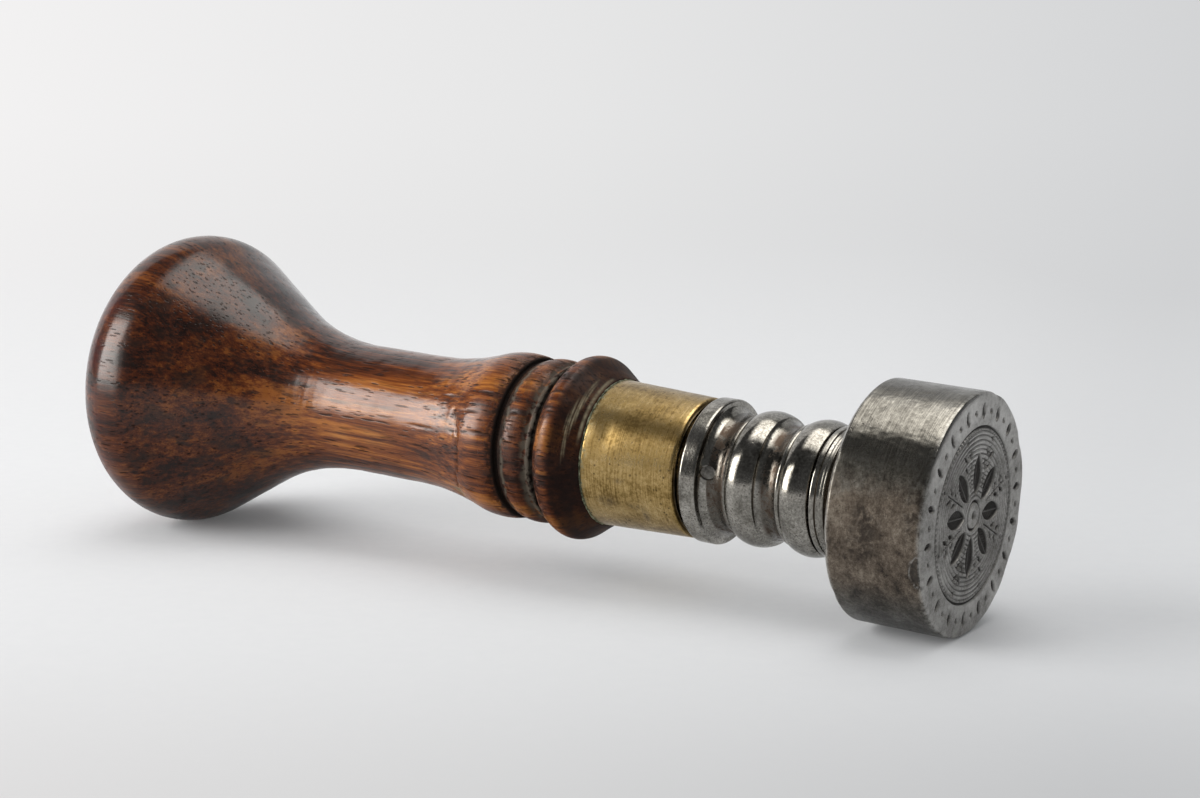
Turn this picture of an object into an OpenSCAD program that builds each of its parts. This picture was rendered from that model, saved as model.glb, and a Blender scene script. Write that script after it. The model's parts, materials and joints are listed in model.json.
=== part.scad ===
// Desk seal: an engraved steel die on a turned steel stem, a brass ferrule and a turned hardwood handle.
// Each piece is drawn along the seal's own axis, with the engraved face at zero and the handle upwards.
// The finished seal is then laid down as it lies on a desk, on the rim of its knob and the front edge of its die.
// All sizes are in millimetres and all angles in degrees.

/* [Die] */
// Diameter of the die
die_d = 37.8; // [34:0.1:42]
// Thickness of the die along the axis
die_t = 15.7; // [13:0.1:20]
// Radius of the worn front edge
die_front_round = 0.6; // [0.3:0.1:1.5]
// Width of the bevel round the back
die_back_bevel = 0.5; // [0.2:0.1:1.5]
// Diameter of the socket in the back that takes the stem
socket_d = 10; // [7:0.1:13]
// Depth of that socket
socket_depth = 9; // [6:0.1:11]

/* [Engraving] */
// Depth of the cuts in the face
engrave_depth = 0.6; // [0.3:0.05:1]
// Diameter of the circle line, at its middle
circle_d = 27.1; // [25:0.1:29]
// Width of the circle lines
line_w = 0.45; // [0.3:0.05:0.7]
// Number of leaves in the border
border_leaves = 18; // [10:1:22]
// Length of a border leaf
leaf_l = 2.5; // [1.8:0.1:2.8]
// Width of a border leaf
leaf_w = 1.1; // [0.6:0.1:1.4]
// Diameter of the small pellets
pellet_d = 0.8; // [0.5:0.05:1.1]
// Number of petals in the flower
petals = 8; // [6:1:9]
// Length of a petal
petal_l = 6.6; // [5:0.1:7.2]
// Width of a petal
petal_w = 3; // [2:0.1:3.2]
// Diameter of the ring at the flower's heart
heart_d = 4.4; // [3.8:0.1:5.4]

/* [Stem] */
// Length of the foot ring on the die
foot_l = 0.9; // [0.6:0.1:2]
// Diameter of the foot ring
foot_d = 20.6; // [19.6:0.1:22]
// Length of each cove
cove_l = 3.7; // [3:0.1:4.5]
// Depth of each cove below its edges
cove_sag = 0.8; // [0.4:0.1:1.2]
// Diameter at the edges of the coves
cove_edge_d = 20; // [19.4:0.1:20.4]
// Number of fine ridges
ridge_count = 3; // [2:1:4]
// Length of one fine ridge
ridge_l = 0.4; // [0.3:0.05:0.6]
// Gap between fine ridges
ridge_gap = 0.1; // [0.05:0.05:0.2]
// Diameter over the fine ridges
ridge_d = 20; // [19.6:0.1:20.4]
// Length of the narrow ring above the ridges
ring_l = 0.9; // [0.6:0.1:1.4]
// Diameter of the narrow ring
ring_d = 20.6; // [20:0.1:21.4]
// Length of each bead
bead_l = 4.8; // [4:0.1:6]
// Diameter over each bead
bead_d = 21.7; // [21:0.1:23]
// Diameter at the edges of each bead
bead_edge_d = 20.4; // [20:0.1:20.8]
// Width of the narrow grooves
groove_w = 0.35; // [0.2:0.05:0.6]
// Diameter at the bottom of the narrow grooves
groove_d = 18.9; // [18.4:0.1:19.2]
// Length of each fillet ring
fillet_l = 0.6; // [0.4:0.1:1]
// Diameter of each fillet ring
fillet_d = 19.5; // [19.3:0.1:20]
// Length of the flange
flange_l = 2.95; // [2:0.05:4]
// Diameter of the flange
flange_d = 23.4; // [22.4:0.1:25]
// Diameter where the cove meets the flange
flange_cove_d = 21.4; // [20.4:0.1:22]
// Rounding of the flange's edges
flange_round = 0.35; // [0.2:0.05:0.6]
// Gap between flange and ferrule
neck_gap = 1.25; // [0.6:0.05:2]
// Length of the neck inside the ferrule
neck_in = 1.35; // [0.8:0.05:2]
// Clearance all round the neck in the ferrule's mouth
neck_clear = 0.3; // [0.1:0.05:0.6]

/* [Ferrule] */
// Length of the ferrule
ferrule_l = 16.85; // [12:0.05:22]
// Outside diameter at the stem end
ferrule_front_d = 22.7; // [21.6:0.1:23.4]
// Outside diameter at the handle end
ferrule_back_d = 23.9; // [23.4:0.1:25.4]
// Wall of the ferrule
ferrule_wall = 0.9; // [0.6:0.1:1.3]
// Rounding of the ferrule's outer edges
ferrule_round = 0.3; // [0.1:0.05:0.5]

/* [Handle] */
// How far the wood stands proud of the ferrule at its seat
seat_lip = 0.25; // [0.1:0.05:0.6]
// Diameter over the large bead
large_bead_d = 30.5; // [29:0.1:34]
// Radius of the large bead's round
large_bead_r = 2.9; // [2.4:0.1:3.4]
// Distance from the ferrule's seat to the crest of the large bead
large_bead_at = 5.2; // [4.4:0.1:7]
// Width of the grooves beside the small bead
wood_groove_w = 0.7; // [0.4:0.1:1.2]
// Diameter at the bottom of those grooves
wood_groove_d = 25.4; // [25:0.1:25.8]
// Length of the fillet ring between the beads
wood_fillet_l = 0.8; // [0.5:0.1:1.4]
// Diameter of that fillet ring
wood_fillet_d = 26.4; // [26:0.1:27]
// Length of the small bead
small_bead_l = 5.6; // [4.4:0.1:7]
// Diameter over the small bead
small_bead_d = 27.4; // [26.8:0.1:30]
// Diameter at the edges of the small bead
small_bead_edge_d = 26; // [25.6:0.1:26.4]
// Diameter over the swell
swell_d = 27.8; // [27.2:0.1:31]
// Radius of the swell's round
swell_r = 11.5; // [9:0.1:14]
// Distance from the groove to the crest of the swell
swell_at = 3.3; // [2.4:0.1:4]
// Distance from the crest of the swell to the widest circle of the knob
grip_l = 69.9; // [64:0.1:85]
// Diameter of the waist
waist_d = 21.9; // [20:0.1:24]
// Radius of the hollow between swell and waist
waist_swell_r = 45; // [35:1:55]
// Radius of the hollow between waist and knob
waist_knob_r = 40; // [30:1:48]
// Slope of the knob's belly against the axis
belly_angle = 31; // [27:0.1:36]
// Diameter of the knob
knob_d = 52; // [48:0.1:56]
// Radius of the knob's rim
knob_rim_r = 9.5; // [7.5:0.1:10.5]
// Height of the knob's dome above its widest circle
dome_h = 13.2; // [11.5:0.1:15]

/* [Fixing] */
// Diameter of the tang in the stem
tang_d = 8; // [6:0.1:9]
// Diameter of the tang's tip in the handle
tang_tip_d = 5; // [4:0.1:6]
// Length of the tang in the stem
tang_stem_l = 16; // [13:0.1:20]
// Length of the tang in the handle
tang_wood_l = 60; // [40:1:75]
// Diameter of the cross pin
pin_d = 2; // [1.4:0.1:2.4]
// Distance from the flange to the edge of the cross pin
pin_inset = 0.25; // [0.1:0.05:0.5]
// Turn of the cross pin about the axis, from the engraving's upright
pin_angle = -83; // [-90:1:90]
// Clearance all round in the fits
fit_gap = 0.03; // [0.02:0.01:0.08]
// Free depth left at the bottom of blind holes
end_gap = 0.3; // [0.1:0.1:0.6]

/* [Lie] */
// Roll about its own axis of the seal as it lies, from the engraving's upright
roll = 4; // [-45:0.5:45]

/* [Hidden] */
$fn = 96;
// Largest distance between an arc and its chords
arc_tol = 0.015;
// Small overlap that lets cuts run clear of a face
cut = 0.5;

wood_color = [0.36, 0.17, 0.09];
brass_color = [0.69, 0.56, 0.31];
steel_color = [0.58, 0.57, 0.55];
dull_steel_color = [0.34, 0.32, 0.29];
pin_color = [0.42, 0.39, 0.34];

// Stations along the axis, from the engraved face to the knob
foot_z = die_t;
foot_cove_z = foot_z + foot_l;
ridge_z = foot_cove_z + cove_l;
ring_z = ridge_z + ridge_count * (ridge_l + ridge_gap);
low_bead_z = ring_z + ring_l + groove_w;
low_groove_z = low_bead_z + bead_l;
low_cove_z = low_groove_z + groove_w + fillet_l;
high_bead_z = low_cove_z + cove_l;
high_groove_z = high_bead_z + bead_l;
high_cove_z = high_groove_z + groove_w + fillet_l;
flange_z = high_cove_z + cove_l;
neck_z = flange_z + flange_l;
ferrule_z = neck_z + neck_gap;
wood_z = ferrule_z + neck_in;
seat_z = ferrule_z + ferrule_l;
large_bead_z = seat_z + large_bead_at;

// Radii that several pieces share
die_r = die_d / 2;
socket_r = socket_d / 2;
ferrule_front_r = ferrule_front_d / 2;
ferrule_back_r = ferrule_back_d / 2;
bore_front_r = ferrule_front_r - ferrule_wall;
bore_back_r = ferrule_back_r - ferrule_wall;
neck_r = bore_front_r - neck_clear;
tang_r = tang_d / 2;
tang_tip_r = tang_tip_d / 2;
pin_r = pin_d / 2;
pin_z = flange_z - pin_inset - pin_r;
wood_groove_r = wood_groove_d / 2;

// Circles that the handle's outline is made of, each as its centre and the angles where it begins and ends
seat_point = [ferrule_back_r + seat_lip, seat_z];
large_bead_c = [large_bead_d / 2 - large_bead_r, large_bead_z];
seat_reach = large_bead_c - seat_point;
large_bead_a0 = atan2(seat_reach[1], seat_reach[0]) - 180 + acos(large_bead_r / norm(seat_reach));
large_bead_a1 = acos((wood_groove_r - large_bead_c[0]) / large_bead_r);
low_wood_groove_z = large_bead_c[1] + large_bead_r * sin(large_bead_a1);
wood_fillet_z = low_wood_groove_z + wood_groove_w;
small_bead_z = wood_fillet_z + wood_fillet_l;
high_wood_groove_z = small_bead_z + small_bead_l;
swell_z = high_wood_groove_z + wood_groove_w;
swell_c = [swell_d / 2 - swell_r, swell_z + swell_at];
swell_a0 = -asin(swell_at / swell_r);
low_waist_r = waist_d / 2 + waist_swell_r;
swell_reach = swell_r + waist_swell_r;
low_waist_c = [low_waist_r, swell_c[1] + sqrt(pow(swell_reach, 2) - pow(low_waist_r - swell_c[0], 2))];
swell_a1 = atan2(low_waist_c[1] - swell_c[1], low_waist_c[0] - swell_c[0]);
knob_z = swell_c[1] + grip_l;
knob_c = [knob_d / 2 - knob_rim_r, knob_z];
high_waist_r = waist_d / 2 + waist_knob_r;
belly_run = (high_waist_r - knob_c[0]) * cos(belly_angle) - knob_rim_r - waist_knob_r;
high_waist_c = [high_waist_r, knob_z + belly_run / sin(belly_angle)];
dome_r = (pow(dome_h, 2) + pow(knob_c[0], 2) - pow(knob_rim_r, 2)) / (2 * (dome_h - knob_rim_r));
dome_c = [0, knob_z + dome_h - dome_r];
dome_a0 = atan2(knob_c[1] - dome_c[1], knob_c[0]);

// Resting on a flat top: the seal tilts until its knob and the front edge of its die both touch
edge_c = [die_r - die_front_round, die_front_round];
lay_run = knob_c - edge_c;
lay_tilt = atan2(lay_run[0], lay_run[1]) + asin((knob_rim_r - die_front_round) / norm(lay_run));
lay_z = knob_c[0] * cos(lay_tilt) + knob_rim_r - knob_c[1] * sin(lay_tilt);
lay_front = edge_c[0] * sin(lay_tilt) - edge_c[1] * cos(lay_tilt) + die_front_round;
lay_back = -dome_c[1] * cos(lay_tilt) - dome_r;
lay_x = -(lay_front + lay_back) / 2;

// Points of an outline as [radius, height]; every list below runs up the axis
function polar(c, r, a) = c + r * [cos(a), sin(a)];

function arc_parts(r, sweep) = max(2, ceil(abs(sweep) / (2 * acos(1 - arc_tol / r))));

function arc(c, r, a0, a1) =
    let (parts = arc_parts(r, a1 - a0))
    [for (i = [0:parts]) polar(c, r, a0 + (a1 - a0) * i / parts)];

// A bead that stands out from edge_d to crest_d over the length l
function bead(z, l, edge_d, crest_d) =
    let (rise = (crest_d - edge_d) / 2, r = (pow(l / 2, 2) + pow(rise, 2)) / (2 * rise), half = asin(l / 2 / r))
    arc([crest_d / 2 - r, z + l / 2], r, -half, half);

// A cove of the length cove_l, from the diameter d0 at its lower end to d1 at its upper end
function cove(z, d0, d1) =
    let (
        low = [d0 / 2, z],
        high = [d1 / 2, z + cove_l],
        chord = high - low,
        r = (pow(norm(chord) / 2, 2) + pow(cove_sag, 2)) / (2 * cove_sag),
        out = [chord[1], -chord[0]] / norm(chord),
        c = (low + high) / 2 + out * (r - cove_sag),
        a0 = atan2(low[1] - c[1], low[0] - c[0]) + 360,
        a1 = atan2(high[1] - c[1], high[0] - c[0])
    )
    arc(c, r, a0, a1);

// A plain ring of the length l and the diameter d
function ring(z, l, d) = [[d / 2, z], [d / 2, z + l]];

// A groove and the fillet ring above it
function groove_and_fillet(z) = concat(
    ring(z, groove_w, groove_d),
    ring(z + groove_w, fillet_l, fillet_d)
);

function flange_outline() =
    let (r = flange_d / 2 - flange_round)
    concat(
        arc([r, flange_z + flange_round], flange_round, -90, 0),
        arc([r, neck_z - flange_round], flange_round, 0, 90)
    );

function ridges_outline() = [
    for (i = [0:ridge_count - 1])
        each bead(ridge_z + i * (ridge_l + ridge_gap), ridge_l, groove_d, ridge_d)
];

// The turned outside of the stem, from the die to the end of its neck
function stem_outline() = concat(
    ring(foot_z, foot_l, foot_d),
    cove(foot_cove_z, cove_edge_d, fillet_d),
    ridges_outline(),
    ring(ring_z, ring_l, ring_d),
    ring(ring_z + ring_l, groove_w, groove_d),
    bead(low_bead_z, bead_l, bead_edge_d, bead_d),
    groove_and_fillet(low_groove_z),
    cove(low_cove_z, fillet_d, cove_edge_d),
    bead(high_bead_z, bead_l, bead_edge_d, bead_d),
    groove_and_fillet(high_groove_z),
    cove(high_cove_z, fillet_d, flange_cove_d),
    flange_outline(),
    [[neck_r, neck_z], [neck_r, wood_z]]
);

// The turned outside of the handle, from the ferrule's seat to the top of its dome
function handle_outline() = concat(
    [seat_point],
    arc(large_bead_c, large_bead_r, large_bead_a0, large_bead_a1),
    ring(low_wood_groove_z, wood_groove_w, wood_groove_d),
    ring(wood_fillet_z, wood_fillet_l, wood_fillet_d),
    bead(small_bead_z, small_bead_l, small_bead_edge_d, small_bead_d),
    ring(high_wood_groove_z, wood_groove_w, wood_groove_d),
    arc(swell_c, swell_r, swell_a0, swell_a1),
    arc(low_waist_c, waist_swell_r, 180 + swell_a1, 180),
    arc(high_waist_c, waist_knob_r, 180, 180 - belly_angle),
    arc(knob_c, knob_rim_r, -belly_angle, dome_a0),
    arc(dome_c, dome_r, dome_a0, 90)
);

// Neighbouring outlines may end and begin at one point, which is kept once
function distinct(points) = [
    for (i = [0:len(points) - 1])
        if (i == 0 || norm(points[i] - points[max(i - 1, 0)]) > arc_tol / 10) points[i]
];

// A solid turned from an outline, closed along the axis
module turned(outline) {
    rotate_extrude() polygon(distinct(outline));
}

// The seal's axis, laid down on a flat top and rolled a little
module laid() {
    translate([lay_x, 0, lay_z]) rotate([0, lay_tilt - 90, 0]) rotate([0, 0, roll]) children();
}

// The space of the cross pin, with a clearance all round
module pin_space(gap) {
    rotate([0, 0, pin_angle]) translate([0, 0, pin_z]) rotate([0, 90, 0])
        cylinder(h = flange_d, r = pin_r + gap, center = true);
}

// The tang with a clearance all round and a free depth at both ends
module tang_form(gap, free_l) {
    stem_part_z = wood_z - tang_stem_l - free_l;
    translate([0, 0, stem_part_z]) cylinder(h = tang_stem_l + free_l, r = tang_r + gap);
    translate([0, 0, wood_z]) cylinder(h = tang_wood_l, r1 = tang_r + gap, r2 = tang_tip_r + gap);
    if (free_l > 0) translate([0, 0, wood_z + tang_wood_l]) cylinder(h = free_l, r = tang_tip_r + gap);
}

// A leaf with two pointed ends, pointing away from the middle
module leaf(l, w) {
    r = (pow(l, 2) + pow(w, 2)) / (4 * w);
    intersection() {
        translate([0, r - w / 2]) circle(r);
        translate([0, w / 2 - r]) circle(r);
    }
}

module circle_line(d) {
    difference() {
        circle(d = d + line_w);
        circle(d = d - line_w);
    }
}

// The border: leaves and pellets by turns, between the circle line and the edge of the face
module border() {
    border_r = (circle_d / 2 + line_w / 2 + die_r - die_front_round) / 2;
    turn = 360 / border_leaves;
    for (i = [0:border_leaves - 1]) {
        rotate(i * turn) translate([border_r, 0]) leaf(leaf_l, leaf_w);
        rotate((i + 0.5) * turn) translate([border_r, 0]) circle(d = pellet_d);
    }
}

// The flower: petals round a ringed heart, with a pellet between the tips of each two petals
module flower() {
    turn = 360 / petals;
    heart_r = heart_d / 2 + line_w;
    petal_r = heart_r + line_w + petal_l / 2;
    pellet_r = circle_d / 2 - line_w - pellet_d;
    circle_line(heart_d);
    for (i = [0:petals - 1]) {
        rotate(i * turn) translate([petal_r, 0]) leaf(petal_l, petal_w);
        rotate((i + 0.5) * turn) translate([pellet_r, 0]) circle(d = pellet_d);
    }
}

module engraving() {
    circle_line(circle_d);
    border();
    flower();
}

module die() {
    color(dull_steel_color) laid() difference() {
        turned(concat(
            [[0, 0]],
            arc(edge_c, die_front_round, -90, 0),
            [[die_r, die_t - die_back_bevel], [die_r - die_back_bevel, die_t], [0, die_t]]
        ));
        translate([0, 0, die_t - socket_depth]) cylinder(h = socket_depth + cut, r = socket_r);
        translate([0, 0, -cut]) linear_extrude(height = engrave_depth + cut) engraving();
    }
}

module stem() {
    spigot_r = socket_r - fit_gap;
    spigot_z = die_t - socket_depth + end_gap;
    color(steel_color) laid() difference() {
        turned(concat(
            [[0, spigot_z], [spigot_r, spigot_z], [spigot_r, foot_z]],
            stem_outline(),
            [[0, wood_z]]
        ));
        tang_form(fit_gap, end_gap);
        pin_space(fit_gap);
    }
}

module tang() {
    color(steel_color) laid() difference() {
        tang_form(0, 0);
        pin_space(fit_gap);
    }
}

module cross_pin() {
    color(pin_color) laid() intersection() {
        pin_space(0);
        turned(concat([[0, foot_z]], stem_outline(), [[0, wood_z]]));
    }
}

module ferrule() {
    round_r = ferrule_round;
    color(brass_color) laid() turned(concat(
        [[bore_front_r, ferrule_z]],
        arc([ferrule_front_r - round_r, ferrule_z + round_r], round_r, -90, 0),
        arc([ferrule_back_r - round_r, seat_z - round_r], round_r, 0, 90),
        [[bore_back_r, seat_z]]
    ));
}

// The spigot under the ferrule follows the ferrule's taper
module handle() {
    slope = (bore_back_r - bore_front_r) / ferrule_l;
    spigot_front_r = bore_front_r + neck_in * slope - fit_gap;
    spigot_back_r = bore_back_r - fit_gap;
    color(wood_color) laid() difference() {
        turned(concat(
            [[0, wood_z], [spigot_front_r, wood_z], [spigot_back_r, seat_z]],
            handle_outline()
        ));
        tang_form(fit_gap, end_gap);
    }
}

handle();
ferrule();
stem();
tang();
cross_pin();
die();
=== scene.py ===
import bpy
import json
import math
import numpy as np
from mathutils import Matrix, Vector
from types import SimpleNamespace


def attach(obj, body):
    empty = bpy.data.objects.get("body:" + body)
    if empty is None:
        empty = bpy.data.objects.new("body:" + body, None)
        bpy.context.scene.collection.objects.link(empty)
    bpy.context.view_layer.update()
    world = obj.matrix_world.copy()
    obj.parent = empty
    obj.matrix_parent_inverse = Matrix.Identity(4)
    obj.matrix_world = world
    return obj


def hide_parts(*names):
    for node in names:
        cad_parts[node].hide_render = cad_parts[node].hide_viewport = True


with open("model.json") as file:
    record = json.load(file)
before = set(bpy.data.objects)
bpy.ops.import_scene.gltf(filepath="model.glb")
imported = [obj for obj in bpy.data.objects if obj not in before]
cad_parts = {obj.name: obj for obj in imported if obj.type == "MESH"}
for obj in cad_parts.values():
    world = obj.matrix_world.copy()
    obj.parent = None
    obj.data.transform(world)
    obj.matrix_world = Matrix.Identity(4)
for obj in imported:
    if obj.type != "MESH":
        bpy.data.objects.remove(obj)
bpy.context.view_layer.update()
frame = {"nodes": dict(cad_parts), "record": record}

# The desk seal: its turned pieces are made again on the outlines of the CAD nodes, rounded, worn and marked
MM = 0.001
# Points nearer to the axis than this lie on it, in mm
AXIS = 0.001
# Stations and radii closer than this are the same, in mm
SAME = 0.01
# Outline points that turn by more than this are corners, in degrees
CORNER = 24
# Spacing of the fine outline before it is worn, in mm
FINE = 0.03

# The seal's own axes: s runs from the engraved face to the knob, angles turn from its upper side
mount = next(m for m in frame["record"]["mounts"] if m["name"] == "die_face")
face_centre = Vector(mount["pos_m"])
along = -Vector(mount["axis"]).normalized()
across = Vector((0, 1, 0))
SEAL = Matrix((across.cross(along), across, along)).transposed().to_4x4()
SEAL.translation = face_centre


# Outlines of the turned nodes

def seal_points(node):
    """Points of a CAD node in the seal's own axes, in mm."""
    mesh = frame["nodes"][node].data
    flat = np.empty(len(mesh.vertices) * 3)
    mesh.vertices.foreach_get("co", flat)
    turn = np.array(SEAL.inverted())
    return (flat.reshape(-1, 3) @ turn[:3, :3].T + turn[:3, 3]) / MM


# Stations in mm from the engraved face: back of the die, front and seat of the ferrule
DIE_BACK = seal_points("die")[:, 2].max()
FRONT = seal_points("ferrule")[:, 2].min()
SEAT = seal_points("ferrule")[:, 2].max()


def wrap(angle):
    """An angle brought between minus pi and pi."""
    return (angle + math.pi) % math.tau - math.pi


def outline_of(node, middle=0.0, half=math.pi):
    """Points (s, r) in order along the outline of a turned node, from the rings of points in one sector."""
    mesh = frame["nodes"][node].data
    x, y, s = seal_points(node).T
    r = np.hypot(x, y)
    kept = np.nonzero((np.abs(wrap(np.arctan2(y, x) - middle)) < half) | (r < AXIS))[0]
    grid = 0.004
    rings, ring_of = np.unique(
        np.round(np.stack([s, r], 1)[kept] / grid).astype(int), axis=0, return_inverse=True)
    number = -np.ones(len(s), int)
    number[kept] = ring_of.ravel()
    ends = np.empty(len(mesh.edges) * 2, int)
    mesh.edges.foreach_get("vertices", ends)
    links = {}
    for a, b in number[ends.reshape(-1, 2)]:
        if a >= 0 and b >= 0 and a != b:
            links.setdefault(a, set()).add(b)
            links.setdefault(b, set()).add(a)
    tips = [k for k in links if len(links[k]) == 1] or list(links)
    path = [min(tips, key=lambda k: tuple(rings[k]))]
    seen = set(path)
    while True:
        ahead = [k for k in links[path[-1]] if k not in seen]
        if not ahead:
            points = rings[path] * grid
            return points if points[0, 0] <= points[-1, 0] else points[::-1]
        path.append(max(ahead, key=lambda k: rings[k][1]))
        seen.add(path[-1])


def run_of(points):
    """Length along an outline up to each of its points."""
    return np.concatenate([[0], np.cumsum(np.hypot(*np.diff(points, axis=0).T))])


def points_at(values, marks, points):
    """Points on an outline where the values lie between the marks of its points."""
    return np.stack([np.interp(values, marks, column) for column in points.T], 1)


def rounded(points):
    """The outline with true arcs again between its corners, finely spaced."""
    steps = np.diff(points, axis=0)
    lengths = np.hypot(*steps.T)
    ways = steps / lengths[:, None]
    turns = np.degrees(np.arccos(np.clip((ways[1:] * ways[:-1]).sum(1), -1, 1)))
    tangents = {}
    for i, turn in enumerate(turns, 1):
        if turn < CORNER:
            before, after = lengths[i - 1] ** 3, lengths[i] ** 3
            t = ways[i - 1] * before + ways[i] * after
            tangents[i] = t / np.hypot(*t)
    fine = [points[:1]]
    for i, way in enumerate(ways):
        t0, t1 = tangents.get(i), tangents.get(i + 1)
        if t0 is None:
            t0 = way if t1 is None else 2 * way.dot(t1) * way - t1
        if t1 is None:
            t1 = 2 * way.dot(t0) * way - t0
        u = np.linspace(0, 1, max(2, math.ceil(lengths[i] / FINE)) + 1)[1:, None]
        h01 = u * u * (3 - 2 * u)
        fine.append(points[i] * (1 - h01) + points[i + 1] * h01
                    + (u * (1 - u) ** 2 * t0 - u * u * (1 - u) * t1) * lengths[i])
    return np.concatenate(fine)


def worn(points, wear, spacing):
    """The outline with its corners worn by about wear, in points as far apart as spacing(s, r) says."""
    run = run_of(points)
    even = points_at(np.arange(0, run[-1], FINE), run, points)
    reach = math.ceil(3 * wear / FINE)
    weights = np.exp(-0.5 * (np.arange(-reach, reach + 1) * FINE / wear) ** 2)
    weights /= weights.sum()
    padded = np.pad(even, ((reach, reach), (0, 0)), mode="reflect", reflect_type="odd")
    soft = np.stack([np.convolve(column, weights, "valid") for column in padded.T], 1)
    soft = np.concatenate([points[:1], soft[1:], points[-1:]])
    gaps = np.hypot(*np.diff(soft, axis=0).T)
    count = np.concatenate([[0], np.cumsum(gaps / spacing(*soft[1:].T))])
    return points_at(np.linspace(0, count[-1], math.ceil(count[-1]) + 1), count, soft)


def to_axis(point):
    """The foot of an outline's end on the axis, or no point if that end lies there."""
    return [[point[0], 0]] if point[1] > AXIS else np.empty((0, 2))


def groove_depth(outline, reach):
    """How far the outline lies under what is within reach on both sides, as stations and depths in mm."""
    step = 0.05
    s = np.arange(outline[0, 0], outline[:, 0].max(), step)
    order = np.argsort(outline[:, 0], kind="stable")
    r = np.interp(s, outline[order, 0], outline[order, 1])
    wide = round(reach / step)
    left = np.array([r[max(0, i - wide):i + 1].max() for i in range(len(r))])
    right = np.array([r[i:i + wide + 1].max() for i in range(len(r))])
    return s, np.minimum(left, right) - r


# Meshes

def new_object(name, data):
    """An object in the scene with the given data."""
    made = bpy.data.objects.new(name, data)
    bpy.context.scene.collection.objects.link(made)
    return made


def smooth_mesh(name, points, faces):
    """An object with a smoothly shaded mesh."""
    mesh = bpy.data.meshes.new(name)
    mesh.from_pydata(points, [], faces)
    mesh.polygons.foreach_set("use_smooth", np.ones(len(faces), bool))
    mesh.update()
    return new_object(name, mesh)


def lathe(name, outline, turns, offset):
    """A closed mesh turned from an outline; offset(s, a, r) moves its surface outwards, in mm."""
    s, r = outline.T
    ds, dr = np.gradient(s), np.gradient(r)
    size = np.maximum(np.hypot(ds, dr), 1e-9)
    ring = r > AXIS
    S, A = np.meshgrid(s[ring], np.arange(turns) * math.tau / turns, indexing="ij")
    R = np.repeat(r[ring][:, None], turns, 1)
    push = offset(S, A, R)
    Z = S - push * (dr / size)[ring][:, None]
    Q = R + push * (ds / size)[ring][:, None]
    points = np.stack([Q * np.cos(A), Q * np.sin(A), Z], -1).reshape(-1, 3)
    ids = np.arange(S.size).reshape(S.shape)
    low, high = ids[:-1], ids[1:]
    if ring[0] and ring[-1]:
        low, high = ids, np.roll(ids, -1, 0)
    quads = np.stack([low, np.roll(low, -1, 1), np.roll(high, -1, 1), high], -1).reshape(-1, 4).tolist()
    caps = []
    for end, row in ((0, ids[0]), (-1, ids[-1])):
        if not ring[end]:
            tip = len(points)
            points = np.concatenate([points, [[0, 0, s[end]]]])
            pair = zip(row.tolist(), np.roll(row, -1).tolist())
            caps += [(tip, b, a) if end == 0 else (tip, a, b) for a, b in pair]
    turn = np.array(SEAL)
    points = points * MM @ turn[:3, :3].T + turn[:3, 3]
    return smooth_mesh(name, points.tolist(), quads + caps), (S, A, R)


def paint(piece, name, values):
    """A named value per point of a turned piece, for its material; the tips on the axis get none."""
    full = np.zeros(len(piece.data.vertices), np.float32)
    full[:values.size] = values.ravel()
    piece.data.attributes.new(name, "FLOAT", "POINT").data.foreach_set("value", full)


def place(piece, slot, material, *nodes):
    """A finished piece rides on the seal, takes the given material and stands for its CAD nodes. The slot is
    not used.
    """
    piece.data.materials.clear()
    piece.data.materials.append(material)
    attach(piece, "root")
    if nodes:
        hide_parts(*nodes)


def ripple(values, seed, waves):
    """A smooth uneven line through given values, from a few seeded waves, between about -1 and 1."""
    rng = np.random.default_rng(seed)
    total = sum(np.sin(values * w + rng.uniform(0, math.tau)) * rng.uniform(0.5, 1) for w in waves)
    return total / len(waves)


def bell(values, wide):
    """1 at nought, falling off softly on both sides."""
    return np.exp(-(values / wide) ** 2)


def spot(S, A, R, s, degrees, half_s, half_a):
    """A soft round or long spot on a turned surface, 1 in its middle; the halves are in mm."""
    side = wrap(A - math.radians(degrees)) * np.maximum(R, 0.1)
    return bell(S - s, half_s) * bell(side, half_a)


def smooth(values, low, high):
    """A soft step from 0 at low to 1 at high, which may lie either way round."""
    t = np.clip((values - low) / (high - low), 0, 1)
    return t * t * (3 - 2 * t)


# Materials, all procedural; colours are linear, and tones are the stops of a ramp

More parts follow.
